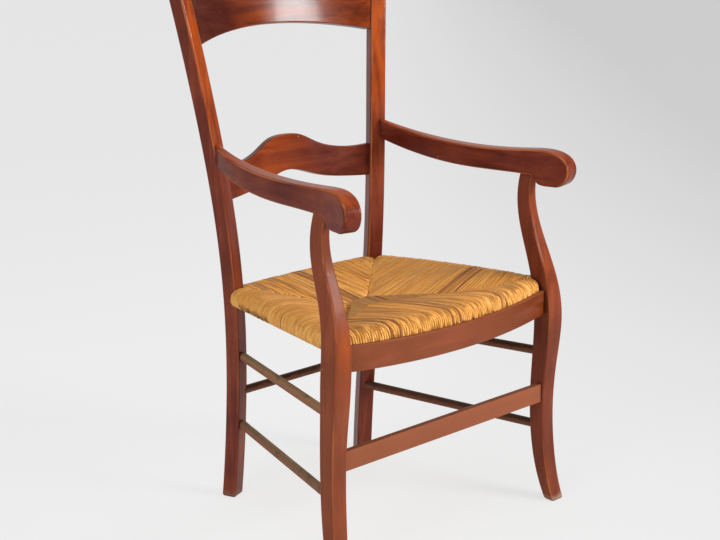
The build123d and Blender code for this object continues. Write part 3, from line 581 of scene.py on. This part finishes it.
def carry_strand(path, aside, width, thickness, marks, chance, number):
    """One strand: a six-sided ring with upright flanks, carried along its path by extrusion."""
    mesh = bmesh.new()
    place_layer, tone_layer, brown_layer = strand_layers(mesh)
    phase = chance.uniform(0, math.tau)
    frames = []
    for step, spot in enumerate(path):
        along = (path[min(step + 1, len(path) - 1)] - path[max(step - 1, 0)]).normalized()
        up = along.cross(aside).normalized()
        swell = 1 + uneven_size * math.sin(phase + step * swell_pace)
        shift = aside * (uneven_aside * math.sin(phase * 2 + step * sway_pace))
        axes = Matrix((aside * width / 2 * swell, up * thickness / 2 * swell, along * 0.01))
        axes = axes.transposed().to_4x4()
        frames.append(Matrix.Translation(spot + shift) @ axes)
    start = frames[0] @ Matrix.Rotation(math.radians(180 / ring_sides), 4, "Z")
    ring = bmesh.ops.create_circle(
        mesh, cap_ends=True, segments=ring_sides, radius=1.0, matrix=start)["verts"]
    cap = ring[0].link_faces[0]
    travelled = 0.0
    for step in range(len(path)):
        if step:
            travelled += (path[step] - path[step - 1]).length
            grown = bmesh.ops.extrude_face_region(mesh, geom=[cap])["geom"]
            cap = next(part for part in grown if isinstance(part, bmesh.types.BMFace))
            ring = list(cap.verts)
            bmesh.ops.transform(mesh, matrix=frames[step] @ frames[step - 1].inverted(), verts=ring)
        back = frames[step].inverted()
        for corner in ring:
            corner[place_layer] = (travelled, (back @ corner.co).x, number * noise_apart)
            corner[tone_layer] = marks["tone"]
            corner[brown_layer] = marks["brown"]
    bmesh.ops.recalc_face_normals(mesh, faces=mesh.faces)
    data = bpy.data.meshes.new("strand")
    mesh.to_mesh(data)
    mesh.free()
    return data


def panel_starts(rush):
    """Each panel's strands: where each starts on its rail's outer edge, and which way is inward."""
    pitch = rush.strand_width
    starts = {"front": [], "back": [], "left": [], "right": []}
    count = int(2 * front_half / pitch)
    for step in range(count + 1):
        spread = -front_half + 2 * front_half * step / count
        starts["front"].append((front_edge(spread), Vector((0, 1))))
    count = int(2 * back_half / pitch)
    for step in range(count + 1):
        spread = -back_half + 2 * back_half * step / count
        starts["back"].append((Vector((spread, rush_high.y)), Vector((0, -1))))
    count = int(side_length / (pitch * math.cos(side_splay)))
    for step in range(count + 1):
        place = side_front + side_run * step / count
        spread = side_middle - place * math.tan(side_splay)
        for name, side in (("left", 1), ("right", -1)):
            inward = Vector((-side * math.cos(side_splay), -math.sin(side_splay)))
            starts[name].append((Vector((side * spread, place)), inward))
    return starts


# Red-brown strands: place along the rail in metres, and depth of the brown
brown_places = {
    "front": {-0.153: 0.85, -0.136: 0.8, -0.021: 0.85, -0.004: 0.85, 0.113: 0.8, 0.126: 0.6},
    "back": {-0.036: 0.75, -0.031: 0.35, -0.026: 0.3, -0.021: 0.85},
    "left": {-0.078: 0.8, -0.083: 0.35, -0.088: 0.3, -0.093: 0.35, -0.098: 0.85},
    "right": {-0.062: 0.6},
}


def weave_seat(rush, material):
    """The whole weave as one mesh: four panels of strands that meet at the mitres."""
    chance = random.Random(rush.seed)
    mesh = bmesh.new()
    strand_layers(mesh)
    number = 0
    for panel, starts in panel_starts(rush).items():
        for outer, inward in starts:
            number += 1
            path = strand_path(panel, outer, inward, rush, chance)
            if path is None:
                continue
            turn = Vector((inward.y, -inward.x, 0))
            where = outer.x if panel in ("front", "back") else outer.y
            brown = 0.0
            for spot, depth in brown_places[panel].items():
                if abs(where - spot) < rush.strand_width * 0.5:
                    brown = depth
            if not brown and chance.random() < stray_brown_chance:
                brown = chance.uniform(*stray_browns)
            marks = {"tone": chance.uniform(-0.5, 0.5), "brown": brown}
            width = rush.strand_width * chance.uniform(*strand_widths)
            thickness = rush.strand_thickness * chance.uniform(*strand_thicknesses)
            strand = carry_strand(path, turn, width, thickness, marks, chance, number)
            mesh.from_mesh(strand)
            bpy.data.meshes.remove(strand)
    data = bpy.data.meshes.new("rush_weave")
    mesh.to_mesh(data)
    mesh.free()
    data.shade_smooth()
    data.materials.append(material)
    piece = bpy.data.objects.new("rush_weave", data)
    bpy.context.scene.collection.objects.link(piece)
    return piece


# Front stretcher

stretcher_end = 0.256
stretcher_thickness = 0.011
stretcher_set_back = 0.0055
stretcher_round = 0.0015


def stretcher_board(material):
    """The front stretcher, behind the front faces of the legs, so that it runs into their inner sides."""
    low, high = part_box("front_stretcher")
    size = (2 * stretcher_end, stretcher_thickness, high.z - low.z)
    middle = Vector((0, low.y + stretcher_set_back + stretcher_thickness / 2, (low.z + high.z) / 2))
    mesh = bmesh.new()
    bmesh.ops.create_cube(mesh, size=1.0, matrix=Matrix.Translation(middle) @ Matrix.Diagonal((*size, 1)))
    lengthwise = [edge for edge in mesh.edges if edge.calc_length() > stretcher_end]
    bmesh.ops.bevel(
        mesh, geom=lengthwise, offset=stretcher_round, segments=3, profile=0.5, affect="EDGES")
    bmesh.ops.recalc_face_normals(mesh, faces=mesh.faces)
    data = bpy.data.meshes.new("stretcher_board")
    mesh.to_mesh(data)
    mesh.free()
    data.materials.append(material)
    piece = bpy.data.objects.new("stretcher_board", data)
    bpy.context.scene.collection.objects.link(piece)
    return piece


# Stage


def soft_lamp(name, place, target, size, power):
    """A rectangular soft lamp that looks at a target."""
    light = bpy.data.lights.new(name, "AREA")
    light.shape = "RECTANGLE"
    light.size, light.size_y = size
    light.energy = power
    lamp = bpy.data.objects.new(name, light)
    lamp.location = place
    lamp.rotation_euler = (Vector(target) - Vector(place)).to_track_quat("-Z", "Y").to_euler()
    bpy.context.scene.collection.objects.link(lamp)
    return lamp


def pale_room(name, settings):
    """Even light on the chair; gloss sees a pale wall behind the chair and a dim room before it."""
    made = bpy.data.worlds.new(name)
    made.use_nodes = True
    tree = made.node_tree
    tree.nodes.clear()
    ray = put(tree, "ShaderNodeLightPath")
    gloss = put(tree, "ShaderNodeMath", {
        0: ray.outputs["Is Glossy Ray"], 1: ray.outputs["Is Transmission Ray"]}, operation="MAXIMUM")
    toward = put(tree, "ShaderNodeTexCoord")
    toward = put(tree, "ShaderNodeSeparateXYZ", {"Vector": toward.outputs["Generated"]})
    wall = put(tree, "ShaderNodeMapRange", {
        "Value": toward.outputs["Y"], "From Min": -0.1, "From Max": 0.5, "To Min": 0.12, "To Max": 0.7})
    strength = put(tree, "ShaderNodeMix", {
        0: gloss.outputs[0], 2: settings.room_light, 3: wall.outputs["Result"]})
    light = put(tree, "ShaderNodeBackground", {"Color": (1, 1, 1, 1), "Strength": strength.outputs[0]})
    put(tree, "ShaderNodeOutputWorld", {"Surface": light.outputs[0]})
    return made


def studio_paper(name, settings):
    """Matt white paper: it shows pale to the camera and keeps a faint shadow of the chair."""
    made = bpy.data.materials.new(name)
    made.use_nodes = True
    tree = made.node_tree
    tree.nodes.clear()
    matt = put(tree, "ShaderNodeBsdfDiffuse", {"Color": (0.8, 0.8, 0.8, 1)})
    # Painted shade: the paper shown to the camera gets a little greyer towards the sitter's left and front
    place = put(tree, "ShaderNodeTexCoord")
    aside = put(tree, "ShaderNodeVectorMath", {
        0: place.outputs["Object"], 1: (0.74, -0.67, 0.0)}, operation="DOT_PRODUCT")
    level = put(tree, "ShaderNodeMapRange", {
        "Value": aside.outputs["Value"], "From Min": 0.0, "From Max": 1.6, "To Min": 1.0,
        "To Max": 0.76})
    shown = put(tree, "ShaderNodeEmission", {
        "Color": (*settings.floor_tone, 1), "Strength": level.outputs["Result"]})
    ray = put(tree, "ShaderNodeLightPath")
    seen = put(tree, "ShaderNodeMath", {
        0: ray.outputs["Is Camera Ray"], 1: ray.outputs["Is Glossy Ray"]}, operation="MAXIMUM")
    seen = put(tree, "ShaderNodeMath", {
        0: seen.outputs[0], 1: ray.outputs["Is Transmission Ray"]}, operation="MAXIMUM")
    share = put(tree, "ShaderNodeMath", {0: seen.outputs[0], 1: 0.8}, operation="MULTIPLY")
    both = put(tree, "ShaderNodeMixShader", {
        0: share.outputs[0], 1: matt.outputs[0], 2: shown.outputs[0]})
    put(tree, "ShaderNodeOutputMaterial", {"Surface": both.outputs[0]})
    return made


# Operators


class ARMCHAIR_OT_varnish(bpy.types.Operator):
    """Varnishes the posts, legs, arms, back rails and apron"""

    bl_idname = "armchair.varnish"
    bl_label = "Varnish the frame"

    def execute(self, context):
        wood = context.scene.armchair_wood
        front, top = (0, -1, 0), (0, 0, 1)
        # The orange on the front faces of the posts, legs, crest and lower rail is partly thin varnish and
        # partly painted light from the front lamp
        finish(("back_post_left", "back_post_right"), varnished_fruitwood(
            "varnished fruitwood post", wood, "Z", 1.0, polish=0.15, scuffed=0.25,
            facing_tone_and_painted_light=(wood.facing_tone_and_painted_light, front, "Z", 0.4, 1.0, [
                (0.1, 0.0), (0.98, 0.8), (0.48, 0.25), (0.58, 0.7), (0.75, 0.95)])))
        finish(("front_leg_right",), varnished_fruitwood(
            "varnished fruitwood right leg", wood, "Z", 1.0, 0.28, 0.06,
            facing_tone_and_painted_light=(wood.facing_tone_and_painted_light, front, "Z", 0.3, 0.5, [(0.1, 0.0), (0.95, 0.0), (0.5, 0.4), (0.7, 0.5)])))
        finish(("front_leg_left",), varnished_fruitwood(
            "varnished fruitwood left leg", wood, "Z", 0.95, 0.16, 0.08,
            facing_tone_and_painted_light=(wood.facing_tone_and_painted_light, front, "Z", 0.3, 0.6, [(0.1, 0.0), (0.95, 0.25), (0.4, 0.2), (0.6, 0.3)])))
        finish(("arm_left", "arm_right"), varnished_fruitwood(
            "varnished fruitwood arm", wood, "Y", 0.95, polish=0.085,
            facing_tone_and_painted_light=(wood.facing_tone_and_painted_light, top, "Y", -0.3, 0.2, [(0.0, 0.5), (1.0, 0.7)])))
        deep = [part * 0.35 for part in wood.facing_tone_and_painted_light]
        finish(("seat_apron",), varnished_fruitwood(
            "varnished fruitwood apron", wood, "X", 0.95, 0.42, 0.05,
            facing_tone_and_painted_light=(deep, front, "X", -0.25, 0.25, [(0.4, 0.0), (0.9, 1.0), (0.65, 0.35)])))
        finish(("crest_rail",), varnished_fruitwood(
            "varnished fruitwood crest", wood, "X", 0.5, polish=0.22,
            facing_tone_and_painted_light=(wood.facing_tone_and_painted_light, front, "X", -0.25, 0.25, [
                (0.25, 0.0), (0.95, 0.5), (0.45, 0.55), (0.6, 0.3)])))
        finish(("lower_back_rail",), varnished_fruitwood(
            "varnished fruitwood lower rail", wood, "X", 0.8, polish=0.1,
            facing_tone_and_painted_light=(wood.facing_tone_and_painted_light, front, "X", -0.2, 0.2, [(0.05, 0.0), (0.7, 0.0), (0.2, 0.65), (0.4, 0.6)])))
        return {"FINISHED"}


class ARMCHAIR_OT_rods(bpy.types.Operator):
    """Gives the stretcher rods and the hidden seat rails their wood"""

    bl_idname = "armchair.rods"
    bl_label = "Finish the rods and rails"

    def execute(self, context):
        wood = context.scene.armchair_wood
        finish(("side_stretcher_upper_right",), worn_rod("worn beech rod", wood, "Y", 0.0))
        finish(("side_stretcher_lower_right",), worn_rod("half worn beech rod", wood, "Y", 0.3))
        finish(("side_stretcher_upper_left", "side_stretcher_lower_left"), worn_rod(
            "stained beech rod", wood, "Y", 0.9))
        finish(("back_stretcher",), worn_rod("stained beech back rod", wood, "X", 0.9))
        finish(("seat_rail_left", "seat_rail_right"), bare_beech("bare beech side rail", wood, "Y"))
        finish(("seat_rail_front", "seat_rail_back"), bare_beech("bare beech cross rail", wood, "X"))
        return {"FINISHED"}


class ARMCHAIR_OT_stretcher(bpy.types.Operator):
    """Sets the front stretcher between the front legs and varnishes it"""

    bl_idname = "armchair.stretcher"
    bl_label = "Set the front stretcher"

    def execute(self, context):
        wood = context.scene.armchair_wood
        dust = [part * 0.3 for part in wood.faded]
        piece = stretcher_board(varnished_fruitwood(
            "varnished fruitwood stretcher", wood, "X", 0.94, 0.62, 0.08,
            facing_tone_and_painted_light=(dust, (0, 0, 1), "X", -0.25, 0.25, [(0.0, 0.8), (1.0, 0.8)])))
        if not piece.data.polygons:
            raise RuntimeError("the front stretcher has no faces")
        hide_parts("front_stretcher")
        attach(piece, "root")
        return {"FINISHED"}


class ARMCHAIR_OT_weave(bpy.types.Operator):
    """Weaves the rush seat in four panels, wrapped round the seat rails"""

    bl_idname = "armchair.weave"
    bl_label = "Weave the rush seat"

    def execute(self, context):
        rush = context.scene.armchair_rush
        piece = weave_seat(rush, twisted_rush("twisted rush", rush))
        if not piece.data.polygons:
            raise RuntimeError("no strand found room on the seat")
        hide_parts("rush_seat", "rush_stuffing")
        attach(piece, "root")
        return {"FINISHED"}


class ARMCHAIR_OT_stage(bpy.types.Operator):
    """Sets the pale floor, the soft lamps, the room light and the camera"""

    bl_idname = "armchair.stage"
    bl_label = "Set the stage"

    def execute(self, context):
        scene = context.scene
        settings = scene.armchair_stage
        sheet = bmesh.new()
        bmesh.ops.create_circle(sheet, cap_ends=True, segments=64, radius=40.0)
        data = bpy.data.meshes.new("studio_floor")
        sheet.to_mesh(data)
        sheet.free()
        floor = bpy.data.objects.new("studio_floor", data)
        scene.collection.objects.link(floor)
        data.materials.append(studio_paper("studio paper", settings))
        soft_lamp("front softbox", (1.35, -2.45, 1.55), (0.0, 0.0, 0.6), (1.1, 0.6), settings.front_power)
        soft_lamp("side softbox", (-2.6, -0.7, 1.5), (0.0, 0.0, 0.5), (1.2, 1.5), settings.side_power)
        soft_lamp("top softbox", (-0.4, -0.5, 2.7), (0.0, 0.0, 0.4), (2.4, 2.4), settings.top_power)
        scene.world = pale_room("pale room", settings)
        view = bpy.data.cameras.new("photo camera")
        view.lens = settings.camera_lens
        view.sensor_width = 36
        camera = bpy.data.objects.new("photo camera", view)
        camera.location = settings.camera_place
        camera.rotation_euler = settings.camera_turn
        scene.collection.objects.link(camera)
        scene.camera = camera
        scene.view_settings.view_transform = "Standard"
        return {"FINISHED"}


class ARMCHAIR_PT_panel(bpy.types.Panel):
    """Lists the armchair's steps and settings"""

    bl_label = "Rush Seat Armchair"
    bl_idname = "ARMCHAIR_PT_panel"
    bl_space_type = "VIEW_3D"
    bl_region_type = "UI"
    bl_category = "Armchair"

    def draw(self, context):
        column = self.layout.column()
        for step in steps:
            column.operator(step.bl_idname)
        for group in ("armchair_wood", "armchair_rush", "armchair_stage"):
            settings = getattr(context.scene, group)
            box = column.box()
            for name in settings.__annotations__:
                box.prop(settings, name)


steps = (
    ARMCHAIR_OT_varnish, ARMCHAIR_OT_rods, ARMCHAIR_OT_stretcher, ARMCHAIR_OT_weave, ARMCHAIR_OT_stage)
classes = (ArmchairWood, ArmchairRush, ArmchairStage, *steps, ARMCHAIR_PT_panel)


def register():
    """Adds the classes and the scene's settings."""
    for kind in classes:
        bpy.utils.register_class(kind)
    bpy.types.Scene.armchair_wood = bpy.props.PointerProperty(type=ArmchairWood)
    bpy.types.Scene.armchair_rush = bpy.props.PointerProperty(type=ArmchairRush)
    bpy.types.Scene.armchair_stage = bpy.props.PointerProperty(type=ArmchairStage)


def unregister():
    """Takes the settings and the classes away."""
    del bpy.types.Scene.armchair_stage
    del bpy.types.Scene.armchair_rush
    del bpy.types.Scene.armchair_wood
    for kind in reversed(classes):
        bpy.utils.unregister_class(kind)


def main():
    """Dresses the frame and sets the stage."""
    register()
    bpy.ops.armchair.varnish()
    bpy.ops.armchair.rods()
    bpy.ops.armchair.stretcher()
    bpy.ops.armchair.weave()
    bpy.ops.armchair.stage()
    bpy.context.view_layer.update()


if __name__ == "__main__":
    main()
